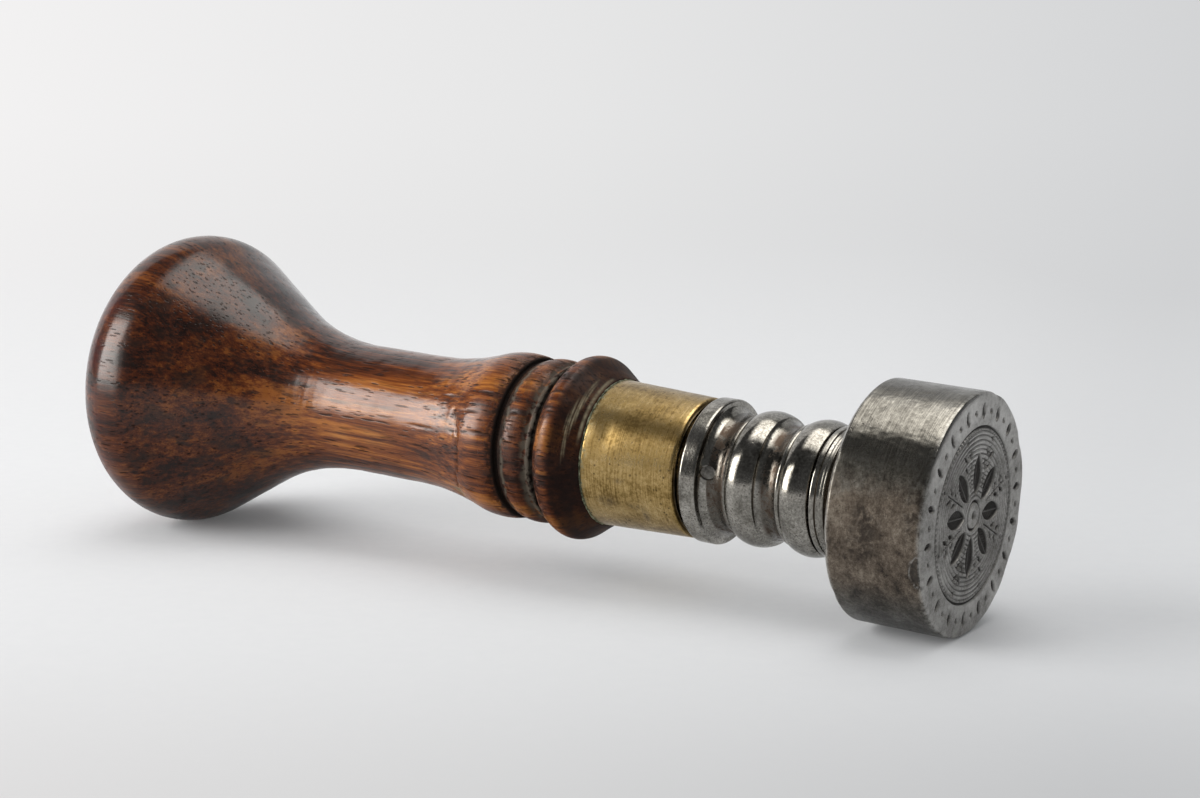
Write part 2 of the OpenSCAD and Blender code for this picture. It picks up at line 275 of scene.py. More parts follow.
class Nodes:
    """Short ways to add shader nodes to a tree."""

    def __init__(self, tree):
        self.tree = tree

    def join(self, source, target):
        """Links a socket to another, or sets a plain value or a colour there."""
        if hasattr(source, "is_output"):
            self.tree.links.new(source, target)
        else:
            target.default_value = (*source, 1) if target.type == "RGBA" else source

    def add(self, kind, inputs, **settings):
        """Adds a shader node, joins its inputs by name or number and gives its outputs."""
        made = self.tree.nodes.new(kind)
        for key, value in settings.items():
            setattr(made, key, value)
        for key, value in inputs.items():
            self.join(value, made.inputs[key])
        return made.outputs

    def math(self, operation, a, b=0.0, clamp=False):
        return self.add("ShaderNodeMath", {0: a, 1: b}, operation=operation, use_clamp=clamp)[0]

    def chain(self, operation, first, *others):
        for other in others:
            first = self.math(operation, first, other)
        return first

    def times(self, *values):
        return self.chain("MULTIPLY", *values)

    def most(self, *values):
        return self.chain("MAXIMUM", *values)

    def plus(self, *terms):
        """A sum, in which a term in brackets is a product."""
        return self.chain("ADD", *[self.times(*t) if isinstance(t, tuple) else t for t in terms])

    def rest(self, value):
        """What a value leaves of 1."""
        return self.math("SUBTRACT", 1.0, value, clamp=True)

    def smooth(self, value, low, high, to_low=0.0, to_high=1.0):
        """A soft step between two values, like the function of that name."""
        inputs = dict(enumerate((value, low, high, to_low, to_high)))
        return self.add("ShaderNodeMapRange", inputs, interpolation_type="SMOOTHSTEP")[0]


class Look(Nodes):
    """A procedural material in the seal's own millimetres; color is what has been laid on so far."""

    def __init__(self, name):
        self.material = bpy.data.materials.new(name)
        self.material.use_nodes = True
        super().__init__(self.material.node_tree)
        self.shader = self.tree.nodes["Principled BSDF"]
        self.color = None
        self.here = self.add("ShaderNodeTexCoord", {})["Object"]
        shift, turn, _ = SEAL.inverted().decompose()
        self.mm = self.add("ShaderNodeMapping", {
            "Vector": self.here, "Location": shift / MM, "Rotation": turn.to_euler("XYZ"),
            "Scale": (1 / MM, 1 / MM, 1 / MM)})[0]
        self.x, _, self.s = self.add("ShaderNodeSeparateXYZ", {0: self.mm})

    def stretched(self, across, along=None, shift=(0, 0, 0), turn=(0, 0, 0)):
        """The millimetres turned and moved, then scaled across the axis, or by x and y, and along it."""
        turned = [math.radians(t) for t in turn]
        moved = self.add("ShaderNodeMapping", {"Vector": self.mm, "Location": shift, "Rotation": turned})[0]
        x, y = across if isinstance(across, tuple) else (across, across)
        scale = (x, y, x if along is None else along)
        return self.add("ShaderNodeMapping", {"Vector": moved, "Scale": scale})[0]

    def noise(self, across, along=None, detail=3.0, rough=0.5, warp=0.0, **where):
        return self.add("ShaderNodeTexNoise", {
            "Vector": self.stretched(across, along, **where), "Scale": 1.0, "Detail": detail,
            "Roughness": rough, "Distortion": warp})[0]

    def dots(self, across, along=None, small=0.12, large=0.26, **where):
        """Scattered soft dots or dashes, 1 inside, with their sizes as shares of a cell."""
        where = self.stretched(across, along, **where)
        cells = self.add("ShaderNodeTexVoronoi", {"Vector": where, "Scale": 1.0})["Distance"]
        return self.smooth(cells, small, large, 1, 0)

    def painted(self, name):
        return self.add("ShaderNodeAttribute", {}, attribute_name=name)["Fac"]

    def ramp(self, value, stops):
        made = self.tree.nodes.new("ShaderNodeValToRGB")
        line = made.color_ramp.elements
        while len(line) < len(stops):
            line.new(0.5)
        for element, (at, color) in zip(line, stops):
            element.position = at
            element.color = (*color, 1)
        self.join(value, made.inputs[0])
        return made.outputs[0]

    def cover(self, amount, color, blend="MIX"):
        """Lays a colour over what is there; an amount in brackets is a product."""
        inputs = {0: self.plus(amount), 6: self.color, 7: color}
        self.color = self.add("ShaderNodeMix", inputs, data_type="RGBA", blend_type=blend)[2]

    def bump(self, height, strength, depth, under=None):
        """A bump of the given depth in mm over an optional other one."""
        inputs = {"Height": height, "Strength": strength, "Distance": depth * MM}
        if under is not None:
            inputs["Normal"] = under
        return self.add("ShaderNodeBump", inputs)[0]

    def finish(self, **sockets):
        sockets["Base_Color"] = self.color
        for name, value in sockets.items():
            self.join(value, self.shader.inputs[name.replace("_", " ")])
        return self.material


WOOD_TONES = ((0.415, (0.020, 0.005, 0.0015)), (0.465, (0.075, 0.017, 0.0035)),
              (0.52, (0.160, 0.042, 0.0065)), (0.585, (0.320, 0.110, 0.017)))
WOOD_STREAK = (0.022, 0.008, 0.004)
WOOD_KNOB = (1.0, 0.86, 0.95)
# Painted shade on the slopes of the swell and beads that face the die
WOOD_SLOPE_SHADE = (0.011, 0.006, 0.005)
WOOD_PORE = (0.007, 0.0035, 0.0025)
WOOD_BLOTCH = (0.012, 0.006, 0.004)
WOOD_CRIMSON = (0.075, 0.008, 0.006)
WOOD_GOLD = (0.42, 0.18, 0.045)
WOOD_STAIN = (0.008, 0.006, 0.005)
WOOD_DUST_AND_HIGHLIGHT = (0.085, 0.072, 0.055)
WOOD_BARE = (0.30, 0.255, 0.165)
WOOD_SCRATCH = (0.2, 0.16, 0.13)
# Turns and places of three sets of fine scratches
SCRATCHES = (((20, 35, 0), (3, 1, 2)), ((-35, 50, 20), (8, 2, 5)), ((60, -25, 40), (1, 6, 9)))


def waxed_wood():
    """Dark reddish hardwood with open pores, waxed and rubbed by hands; stations count from the seat."""
    look = Look("waxed_wood")
    station = look.math("SUBTRACT", look.s, SEAT)
    knob = look.smooth(station, 47, 72)
    dome = look.smooth(station, 88, 93)
    beads = look.smooth(station, 25, 15)
    under = look.smooth(look.x, 1, -9)
    figure = look.noise(0.15, 0.012, detail=4, warp=0.5)
    fibre = look.noise(1.3, 0.05, detail=5, rough=0.65)
    thread = look.noise(5, 0.2)
    look.color = look.ramp(look.plus((figure, 0.45), (fibre, 0.37), (thread, 0.14), 0.02), WOOD_TONES)
    streak = look.noise(0.85, 0.07, rough=0.55, shift=(6, 2, 3))
    look.cover(look.smooth(streak, 0.55, 0.68, 0, 0.7), WOOD_STREAK)
    shade = look.plus((knob, 0.54), look.smooth(station, 20, 15, 0, 0.2))
    look.cover(1.0, look.rest(shade), "MULTIPLY")
    look.cover(knob, WOOD_KNOB, "MULTIPLY")
    # Painted shade: the slopes of the swell and beads that face the die are darkened
    dark = look.painted("dark")
    look.cover((dark, 0.95), WOOD_SLOPE_SHADE)
    rows = look.noise(0.45, 0.03, detail=2, shift=(7, 3, 1))
    long_pores = look.dots(1.1, 0.13, 0.15, 0.25, shift=(2, 9, 4))
    short_pores = look.dots(1.9, 0.3, 0.16, 0.28, shift=(5, 1, 7))
    pores = look.times(look.most(long_pores, short_pores), look.smooth(rows, 0.36, 0.49))
    look.cover((pores, 0.76), WOOD_PORE)
    blotch = look.noise(0.38, 0.055, rough=0.55, shift=(1, 5, 2))
    look.cover((look.smooth(blotch, 0.5, 0.64), knob, 0.62), WOOD_BLOTCH)
    red = look.noise(0.12, 0.08, shift=(4, 1, 8))
    look.cover((look.smooth(red, 0.44, 0.58), dome, 0.38), WOOD_CRIMSON)
    look.cover((look.painted("gold"), look.smooth(fibre, 0.42, 0.58)), WOOD_GOLD)
    crumbly = look.noise(0.7, 0.9, detail=4, rough=0.6, shift=(2, 2, 6))
    grime = look.times(look.painted("near_groove"), look.smooth(crumbly, 0.44, 0.54))
    stain = look.most(look.painted("stain"), look.times(grime, 0.9))
    look.cover(stain, WOOD_STAIN)
    # Grey-brown dust, partly a painted highlight, on the far groove's wall and in the near fillet
    look.cover((look.painted("dust_and_highlight"), look.smooth(crumbly, 0.4, 0.55)), WOOD_DUST_AND_HIGHLIGHT)
    flakes = look.noise(1.2, detail=4, rough=0.6, shift=(3, 5, 8))
    scraped = look.times(look.painted("scrape"), look.smooth(flakes, 0.36, 0.6, 0.5, 1))
    pale = look.most(look.painted("pale"), scraped)
    look.cover(pale, WOOD_BARE)
    hairs = [look.smooth(look.noise((0.12, 7), 7, detail=2, turn=turn, shift=shift), 0.7, 0.76)
             for turn, shift in SCRATCHES]
    rubbed = look.noise(0.1, shift=(6, 6, 1))
    lines = look.times(look.most(*hairs), look.smooth(rubbed, 0.48, 0.62), look.plus((knob, 0.8), 0.2))
    look.cover((lines, 0.25), WOOD_SCRATCH)
    wide = look.noise(0.35, 0.5, detail=2)
    chatter = look.noise(0.06, 0.8, detail=1, shift=(0, 2, 0))
    base = look.bump(look.plus((wide, 0.5), (chatter, 0.6)), 0.5, 0.09)
    height = look.plus((pores, -0.8), (thread, 0.45), (fibre, 0.5), (lines, -0.25))
    normal = look.bump(height, 0.45, 0.045, base)
    wear = look.noise(0.3, detail=4, shift=(9, 4, 4))
    gloss = look.plus(look.smooth(wear, 0.35, 0.7, 0.12, 0.2), (lines, 0.2), (beads, 0.1),
                      (stain, 0.3), (pale, 0.5))
    bare = look.plus((pores, 0.6), (stain, 0.7), (beads, 0.3), (dark, 0.7), (under, 0.45),
                     look.smooth(station, 77, 89, 0, 0.14))
    return look.finish(Roughness=look.plus(gloss, 0.25), Normal=normal, Specular_IOR_Level=0.06,
                       Coat_Weight=look.rest(bare), Coat_IOR=1.40, Coat_Roughness=gloss, Coat_Normal=normal)


BRASS_TONES = ((0.41, (0.140, 0.088, 0.028)), (0.47, (0.280, 0.188, 0.068)),
               (0.53, (0.400, 0.280, 0.116)), (0.60, (0.510, 0.374, 0.178)))
BRASS_SPECK = (0.045, 0.030, 0.014)
# Real stain spots, and a painted dark reflection over the ferrule's upper side
BRASS_STAIN_AND_SHADE = (0.075, 0.050, 0.022)
BRASS_GREEN = (0.085, 0.09, 0.05)


def old_brass():
    """Satin brass with a brown and olive skin, dark specks and fine marks round it; its stain also carries a
    painted dark reflection over the upper side.
    """
    look = Look("old_brass")
    skin = look.noise(0.22, 0.14, detail=5, rough=0.6, warp=0.3)
    fine = look.noise(1.8, detail=5, rough=0.7)
    marks = look.noise(0.12, 7)
    tone = look.plus((skin, 0.4), (fine, 0.35), (marks, 0.25))
    look.color = look.ramp(tone, BRASS_TONES)
    large = look.dots(0.85, small=0.10, large=0.22, shift=(2, 1, 4))
    large = look.times(large, look.smooth(look.noise(0.3), 0.43, 0.56))
    small = look.dots(2.1, shift=(8, 3, 1))
    small = look.times(small, look.smooth(look.noise(0.2, shift=(3, 3, 3)), 0.45, 0.58))
    specks = look.most(large, look.times(small, 0.7))
    look.cover((specks, 0.8), BRASS_SPECK)
    patchy = look.noise(0.9, detail=5, rough=0.65, shift=(1, 4, 2))
    # The stain holds real spots and a painted dark reflection over the upper side
    stain = look.times(look.painted("stain"), look.smooth(patchy, 0.4, 0.56, 0.35, 1))
    look.cover(stain, BRASS_STAIN_AND_SHADE)
    green = look.times(look.painted("crust"), look.smooth(fine, 0.46, 0.58))
    look.cover(green, BRASS_GREEN)
    normal = look.bump(look.plus((marks, 0.5), (specks, -0.8), (fine, 0.4)), 0.35, 0.03)
    gloss = look.plus(look.smooth(tone, 0.4, 0.6, 0.36, 0.25), (specks, 0.2), (green, 0.4))
    metal = look.rest(look.plus((green, 0.9), (stain, 0.3)))
    return look.finish(Metallic=metal, Roughness=gloss, Normal=normal)


STEEL_TONES = ((0.39, (0.09, 0.083, 0.071)), (0.50, (0.25, 0.238, 0.213)), (0.61, (0.42, 0.403, 0.369)))
STEEL_PIT = (0.05, 0.042, 0.034)
STEEL_HOLLOW = (0.042, 0.035, 0.028)
STEEL_RUST = (0.060, 0.036, 0.022)
STEEL_GRIME = (0.014, 0.011, 0.008)


def turned_steel():
    """Polished steel with turning marks, small pits and brown rust in its hollows."""
    look = Look("turned_steel")
    under = look.smooth(look.x, 2, -7)
    cloud = look.noise(0.25, 0.3, detail=5, rough=0.6)
    fine = look.noise(2.4, detail=5, rough=0.7)
    grain = look.noise(7, detail=2)
    look.color = look.ramp(look.plus((cloud, 0.4), (fine, 0.4), (grain, 0.2)), STEEL_TONES)
    pits = look.times(look.dots(1.5), look.smooth(look.plus((under, 0.18), cloud), 0.48, 0.62))
    look.cover((pits, 0.8), STEEL_PIT)
    hollow = look.painted("hollow")
    look.cover((hollow, 0.6), STEEL_HOLLOW)
    rust = look.times(hollow, look.smooth(look.plus(cloud, (fine, 0.5)), 0.68, 0.86))
    look.cover((rust, 0.85), STEEL_RUST)
    look.cover(look.painted("grime"), STEEL_GRIME)
    dull = look.times(under, look.smooth(fine, 0.38, 0.62, 0.2, 1))
    rings = look.noise(0.03, 8)
    height = look.plus((rings, 0.3), (pits, -0.9), (fine, look.plus(0.3, under), 0.5), (rust, fine, 0.8),
                       (grain, 0.2))
    gloss = look.plus(look.smooth(cloud, 0.35, 0.65, 0.11, 0.2), (rust, 0.3), (dull, 0.15), (hollow, 0.02))
    return look.finish(Metallic=look.rest(look.times(rust, 0.08)), Roughness=gloss,
                       Normal=look.bump(height, 0.4, 0.03))


DIE_TONES = ((0.39, (0.028, 0.026, 0.022)), (0.46, (0.082, 0.077, 0.067)),
             (0.53, (0.150, 0.143, 0.126)), (0.62, (0.280, 0.270, 0.245)))
DIE_BROWNS = ((0.39, (0.016, 0.011, 0.008)), (0.46, (0.060, 0.044, 0.031)),
              (0.53, (0.115, 0.088, 0.064)), (0.61, (0.210, 0.175, 0.135)))
DIE_POLISH = ((0.40, (0.052, 0.048, 0.041)), (0.5, (0.126, 0.119, 0.105)), (0.60, (0.22, 0.21, 0.187)))
DIE_GROUND = ((0.38, (0.18, 0.175, 0.162)), (0.50, (0.345, 0.336, 0.32)), (0.62, (0.47, 0.46, 0.44)))
DIE_SPECK = (0.030, 0.023, 0.018)
DIE_BLOTCH = (0.016, 0.011, 0.008)
# Painted shade on the die's underside
DIE_UNDER_SHADE = (0.03, 0.028, 0.024)
DIE_EDGE = (0.5, 0.49, 0.46)
DIE_CUT = (0.022, 0.018, 0.015)
DIE_CHIP = (0.045, 0.040, 0.034)
DIE_LIP = (0.34, 0.33, 0.31)
# Heights over the axis between which the die's side turns from brown to rubbed above and to painted shade
# below, in mm
DIE_TOP = (8, 13)
DIE_FOOT = (-8, -15)


def die_steel():
    """Dull steel: rubbed grey above, brown and mottled on the side, with painted shade below; bare on its
    face, dark in its cuts.
    """
    look = Look("die_steel")
    cloud = look.noise(0.17, 0.22, detail=6, rough=0.62, warp=0.3)
    fine = look.noise(1.3, 1.6, detail=6, rough=0.72)
    grain = look.noise(6, detail=2)
    brush = look.noise(0.1, 9)
    tone = look.plus((cloud, 0.45), (fine, 0.38), (grain, 0.17))
    look.color = look.ramp(tone, DIE_TONES)
    skin = look.times(look.smooth(look.plus(look.x, (cloud, 8)), *DIE_TOP[::-1]),
                      look.smooth(look.x, *DIE_FOOT[::-1]))
    look.cover((skin, 0.9), look.ramp(tone, DIE_BROWNS))
    rubbed = look.smooth(look.x, *DIE_TOP)
    look.cover((rubbed, 0.8), look.ramp(look.plus((tone, 0.6), (brush, 0.4)), DIE_POLISH))
    specks = look.times(look.dots(1.2, small=0.1, large=0.22), look.smooth(cloud, 0.45, 0.6))
    look.cover((specks, 0.55), DIE_SPECK)
    crumbly = look.noise(0.55, 0.6, detail=5, rough=0.65, warp=0.4, shift=(4, 7, 2))
    look.cover((look.painted("blotch"), look.smooth(crumbly, 0.38, 0.6), 0.8), DIE_BLOTCH)
    # Painted shade: the side darkens towards the bottom
    look.cover(look.smooth(look.x, *DIE_FOOT, 0, 0.45), DIE_UNDER_SHADE)
    face = look.painted("face")
    look.cover(face, look.ramp(tone, DIE_GROUND))
    edge = look.times(look.painted("edge"), look.smooth(fine, 0.38, 0.6, 0.2, 1))
    look.cover((edge, 0.7), DIE_EDGE)
    cut = look.painted("cut")
    look.cover((look.smooth(cut, 0.08, 0.75), 0.92), DIE_CUT)
    chip = look.painted("chip")
    look.cover((look.smooth(chip, 0.5, 0.75), look.smooth(fine, 0.38, 0.6, 0.85, 0.45)), DIE_CHIP)
    lip = look.times(look.smooth(chip, 0.12, 0.4), look.smooth(chip, 0.75, 0.5),
                     look.smooth(fine, 0.42, 0.58, 0.1, 0.75))
    look.cover(lip, DIE_LIP)
    side = look.rest(face)
    rub = look.noise((5, 0.6), 1, turn=(0, 0, 25))
    wavy = look.noise(0.4, 0.28, detail=2, shift=(3, 8, 5))
    height = look.plus((brush, side, 0.4), (rub, face, 0.4), (fine, 0.7), (grain, 0.25), (specks, -0.7))
    normal = look.bump(height, 0.4, 0.04, look.bump(look.times(wavy, side), 0.6, 0.25))
    gloss = look.plus(look.smooth(tone, 0.4, 0.6, 0.4, 0.3), (face, 0.1), (cut, 0.2), (rubbed, -0.12),
                      (skin, 0.08))
    metal = look.plus(1.0, (look.smooth(cut, 0.1, 0.8), -0.7), (skin, side, -0.35))
    return look.finish(Metallic=metal, Roughness=gloss, Normal=normal)


PIN_TONES = ((0.35, (0.13, 0.12, 0.105)), (0.62, (0.33, 0.318, 0.29)))


def filed_pin():
    """Dark filed end of the cross pin."""
    look = Look("filed_pin")
    cloud = look.noise(1.2, detail=4, rough=0.6)
    look.color = look.ramp(cloud, PIN_TONES)
    file_marks = look.noise((0.6, 6), 6, detail=2)
    return look.finish(Metallic=1.0, Roughness=look.smooth(cloud, 0.3, 0.7, 0.3, 0.5),
                       Normal=look.bump(file_marks, 0.4, 0.03))


CRUST_TONES = ((0.4, (0.045, 0.047, 0.026)), (0.52, (0.14, 0.15, 0.085)), (0.64, (0.36, 0.36, 0.24)))


def green_crust():
    """Cream and green crust that brass leaves where it meets the wood."""
    look = Look("green_crust")
    cloud = look.noise(1.1, detail=5, rough=0.65)
    look.color = look.ramp(cloud, CRUST_TONES)
    grit = look.noise(4)
    return look.finish(Roughness=look.smooth(cloud, 0.3, 0.7, 0.95, 0.75),
                       Normal=look.bump(look.plus(cloud, grit), 0.8, 0.12))


# Pieces, in mm and degrees; a spot is a station, an angle, a half length and a half width

# How far corners are worn, spacing of outline points, and points round each turned piece
WEAR = {"handle": 0.14, "ferrule": 0.1, "stem": 0.06, "die": 0.1}
SPACING = {"shoulder": 0.1, "swell": 0.2, "handle": 0.55, "ferrule": 0.28, "stem": 0.15,
           "die": 0.4, "corners": 0.14}
TURNS = {"handle": 480, "ferrule": 300, "crust": 300, "stem": 320, "die": 640}

# How far grooves and hollows are looked for to each side
GROOVE_REACH = 1.2
HOLLOW_REACH = 3.6

# Stations on the handle count from the seat; its shoulder and its swell, up to these, need finer points
SHOULDER_END = 4
SWELL_END = 30
# The crack round the swell: angles and stations of its bends, and the angles where it fades in and out
CRACK = ((-150, 25), (-140, 25.6), (-110, 23.7), (-98, 22.9), (-87, 23.2), (-76, 23.6), (-67, 25))
CRACK_BEGIN = (-148, -138)
CRACK_END = (-62, -70)
# Depth and half width of the crack, and depth and reach of the step beyond it
CRACK_DEPTH = 0.28
CRACK_HALF = 0.3
STEP_DEPTH = 0.16
STEP_REACH = 2.2
# Short checks on swell and beads, two dents, the depths of all these, bare wood in a dent, and golden spots
CHECKS = ((21.2, -65, 1.6, 0.2), (18.4, -78.5, 2.4, 0.22), (26.5, -54, 1.6, 0.2), (18.8, -50, 1.8, 0.2),
          (12.6, -61, 1.0, 0.22), (5.4, -57.5, 1.3, 0.2), (5.0, -98.5, 1.1, 0.22), (20.2, -112, 2.0, 0.2),
          (13.0, -120, 1.0, 0.2), (6.2, -43.5, 1.2, 0.25), (21.5, -125, 1.5, 0.2), (32, -83, 2.0, 0.2))
CHECK_DEPTH = 0.12
BRUISE_DEPTH = 0.35
DENT_DEPTH = 0.12
BRUISE = (25.6, -139, 0.9, 1.2)
BRUISE_BARE = (25.6, -139, 0.9, 1.1)
DENT = (3.5, -45, 0.8, 0.9)
GOLD = ((49.2, -107, 2.2, 1.4), (42, -101, 3.0, 1.3))
# The grooves beside the small bead: ends of their stains, and middles and reach of the grime round them
GROOVES = ((7.2, 9.4), (13.9, 16.0))
GRIME = ((8.3, 2.6), (15.2, 2.4))
# Dust and a painted highlight on the wall of the far groove, and where they begin and end in the fillet of
# the near one
DUST_AND_HIGHLIGHT_AT = 14.1
FILLET_BEGIN = (8.4, 9.0)
FILLET_END = (10.9, 9.7)
# Pale strands scraped round the shoulder: place along the outline, first and last angle, and half width
STRANDS = ((0.4, -92, -46, 0.1), (0.08, -88, -38, 0.15), (-0.3, -76, -30, 0.12), (-0.62, -66, -16, 0.17),
           (-0.95, -54, -20, 0.12), (0.75, -72, -50, 0.1))
STRANDS_AT = 2
STRAND_FADE = 16
# Crumbs beside the ferrule: station, half width, angles where they fade in and out, and height over the brass
CRUMBS_AT = 0.4
CRUMBS_WIDE = 0.2
CRUMBS_BEGIN = (-78, -62)
CRUMBS_END = (-5, -15)
CRUMBS_HIGH = 0.75


def handle_outline():
    """Bore and spigot as the CAD has them, and the part that shows, rounded and worn."""
    points = outline_of("handle")
    first = max(np.nonzero(points[:, 0] <= SEAT + SAME)[0])

    def spacing(s, r):
        fine = np.where(s < SEAT + SHOULDER_END, SPACING["shoulder"], SPACING["swell"])
        return np.where(s < SEAT + SWELL_END, fine, SPACING["handle"])

    shown = worn(rounded(points[first:]), WEAR["handle"], spacing)
    shown[-1, 1] = 0
    return np.concatenate([to_axis(points[0]), points[:first]]), shown


def crack(A):
    """Station of the crack at an angle, and how open it is there."""
    turn = np.degrees(wrap(A))
    at = np.interp(turn, *np.array(CRACK).T) + 0.55 * ripple(A, 5, (17, 29, 47, 71))
    ends = smooth(turn, *CRACK_BEGIN) * smooth(turn, *CRACK_END)
    return at, ends * (0.6 + 0.4 * ripple(A, 31, (13, 29, 51)))


def strands(run, A):
    """The pale strands, on a surface whose points lie at the given lengths along the outline."""
    turn = np.degrees(wrap(A))
    total = np.zeros_like(A)
    for seed, (at, begin, end, wide) in enumerate(STRANDS):
        wander = 0.13 * ripple(A, 40 + seed, (2, 4, 7))
        ends = smooth(turn, begin, begin + STRAND_FADE) * smooth(turn, end, end - STRAND_FADE)
        strength = 0.62 + 0.38 * ripple(A, 60 + seed, (9, 15))
        total = np.maximum(total, bell(run + wander - at, wide) * ends * strength)
    return total


def make_handle():
    """The wooden handle with its crack, checks, dents, grime, scraped shoulder and painted shade on the
    slopes that face the die.
    """
    hidden, shown = handle_outline()
    outline = np.concatenate([hidden, shown])

    def offset(S, A, R):
        U = S - SEAT
        at, share = crack(A)
        step = CRACK_DEPTH * bell(U - at, CRACK_HALF)
        step += STEP_DEPTH * bell(np.maximum(U - at, 0), STEP_REACH) * (U > at)
        dents = BRUISE_DEPTH * spot(U, A, R, *BRUISE) + DENT_DEPTH * spot(U, A, R, *DENT)
        dents += CHECK_DEPTH * sum(spot(U, A, R, *check) for check in CHECKS)
        uneven = 0.035 * ripple(A * 3 + S * 0.5, 8, (1, 2, 3)) * (U > 1)
        return uneven - step * share - dents

    piece, (S, A, R) = lathe("handle_wood", outline, TURNS["handle"], offset)
    U = S - SEAT
    ragged = U + 0.35 * ripple(A, 14, (9, 17, 31, 44))
    at, share = crack(A)
    stains = [0.7 * bell(U - at, 0.25) * share]
    stains += [0.9 * spot(U, A, R, *check) for check in CHECKS]
    stains += [0.9 * smooth(ragged, low - 0.3, low + 0.4) * smooth(ragged, high + 0.6, high - 0.2)
               for low, high in GROOVES]
    stains.append(0.97 * smooth(np.interp(S, *groove_depth(shown, GROOVE_REACH)), 0.25, 0.7))
    paint(piece, "stain", np.max(stains, 0))
    near_groove = sum(bell(U - middle, wide) for middle, wide in GRIME)
    paint(piece, "near_groove", np.clip(near_groove, 0, 1) * (U > SHOULDER_END))
    # Dust and painted highlight on the far groove's wall and in the near fillet
    fillet = smooth(ragged, *FILLET_BEGIN) * smooth(ragged, *FILLET_END)
    paint(piece, "dust_and_highlight", np.maximum(0.8 * bell(ragged - DUST_AND_HIGHLIGHT_AT, 0.35), 0.75 * fillet))

    # Painted shade on the slopes of the swell and beads that face the die, with a slight ripple round the
    # handle
    ring = outline[:, 1] > AXIS
    ds, dr = np.gradient(outline, axis=0)[ring].T
    facing = (dr / np.maximum(np.hypot(ds, dr), 1e-9))[:, None]
    shade_ripple = 0.9 + 0.1 * ripple(A * 2 + S * 0.7, 17, (1, 2.3, 4.1))
    paint(piece, "dark", smooth(facing, 0.0, 0.5) * smooth(U, 20, 16) * shade_ripple)

    run = run_of(outline[ring])
    first = (hidden[:, 1] > AXIS).sum()
    run -= np.interp(STRANDS_AT, U[first:, 0], run[first:])
    turn = np.degrees(wrap(A))
    crumbs = bell(U - CRUMBS_AT, CRUMBS_WIDE) * smooth(turn, *CRUMBS_BEGIN) * smooth(turn, *CRUMBS_END)
    crumbs *= R < np.hypot(*seal_points("ferrule")[:, :2].T).max() + CRUMBS_HIGH
    paint(piece, "scrape", np.maximum(strands(run[:, None], A), 0.7 * crumbs))
    paint(piece, "pale", 0.9 * spot(U, A, R, *BRUISE_BARE))
    paint(piece, "gold", 0.5 * sum(spot(U, A, R, *at) for at in GOLD))
    return piece


# Dents in the ferrule, and its stains with stations from the seat
SEAT_DENT = (SEAT - 4, -60, 1.6, 2.2)
FRONT_DENT = (FRONT + 6, -115, 1.5, 1.5)
BRASS_STAINS = ((-4.6, -117.7, 1.7, 1.0), (-9.8, -119, 1.2, 0.8), (-11.2, -128, 0.7, 1.4),
                (-7.4, -98, 0.8, 0.5))


def make_ferrule():
    """The brass ferrule, with worn ends and small dents."""
    points = outline_of("ferrule")
    closed = rounded(np.concatenate([points, points[:1]]))
    shell = worn(closed, WEAR["ferrule"], lambda s, r: SPACING["ferrule"])[:-1]

    def offset(S, A, R):
        dents = 0.12 * spot(S, A, R, *SEAT_DENT) + 0.1 * spot(S, A, R, *FRONT_DENT)
        return 0.015 * ripple(A * 2 + S * 0.4, 4, (1, 2, 3)) - dents

    piece, (S, A, R) = lathe("ferrule_brass", shell, TURNS["ferrule"], offset)
    stain = 0.9 * sum(spot(S - SEAT, A, R, *at) for at in BRASS_STAINS)
    # Painted dark reflection: the upper side is darkened unevenly, added to the stain
    upper = smooth(np.cos(A), 0.45, 0.75) * 0.35 * (0.7 + 0.3 * ripple(A * 4 + S, 6, (1, 2.3, 3.7)))
    paint(piece, "stain", np.maximum(stain, upper))
    paint(piece, "crust", smooth(S + 0.4 * ripple(A, 9, (7, 15, 29)), SEAT - 1.3, SEAT - 0.2))
    return piece


# Section of the crust: half width, height of its arc, and how deep the arc's middle and the foot lie
CRUST_HALF = 0.28
CRUST_ARC = 0.3
CRUST_SUNK = 0.1
CRUST_FOOT = 0.6


def make_crust():
    """A thin uneven line of crust where the ferrule meets the wood."""
    radius = outline_of("ferrule")[:, 1].max()
    arc = np.radians(np.linspace(-90, 90, 9))
    ring = np.stack([SEAT + CRUST_HALF * np.sin(arc), radius - CRUST_SUNK + CRUST_ARC * np.cos(arc)], 1)
    foot = [[SEAT + side * CRUST_HALF, radius - CRUST_FOOT] for side in (1, -1)]

    def offset(S, A, R):
        return 0.17 * ripple(A, 21, (11, 19, 37, 53, 71)) - 0.08

    return lathe("seat_crust", np.concatenate([ring, foot]), TURNS["crust"], offset)[0]


def pin_place():
    """Station, angle and radius of the end of the cross pin that shows."""
    points = seal_points("cross_pin")
    side = points[points[:, 1] < 0]
    reach = np.hypot(*side[:, :2].T)
    x, y, _ = side[reach > reach.max() - 0.9].mean(0)
    return points[:, 2].mean(), math.atan2(y, x), np.ptp(points[:, 2]) / 2


PIN_S, PIN_A, PIN_R = pin_place()
# The stem's rings are read in a sector this wide to each side, away from the pin, in degrees
STEM_SECTOR = 50
# How far the stem is sunk round the pin, and where the grime at its foot fades, from the die on
PIN_SUNK = 0.07
FOOT_GRIME = (5.5, 3.5)
# Two nicks on the stem
FLANGE_NICK = (FRONT - 1.45, -100, 0.4, 0.6)
COVE_NICK = (FRONT - 4.05, -70, 0.4, 0.5)


def from_pin(S, A, R):
    """Distance from the middle of the pin's end."""
    return np.hypot(S - PIN_S, wrap(A - PIN_A) * R)


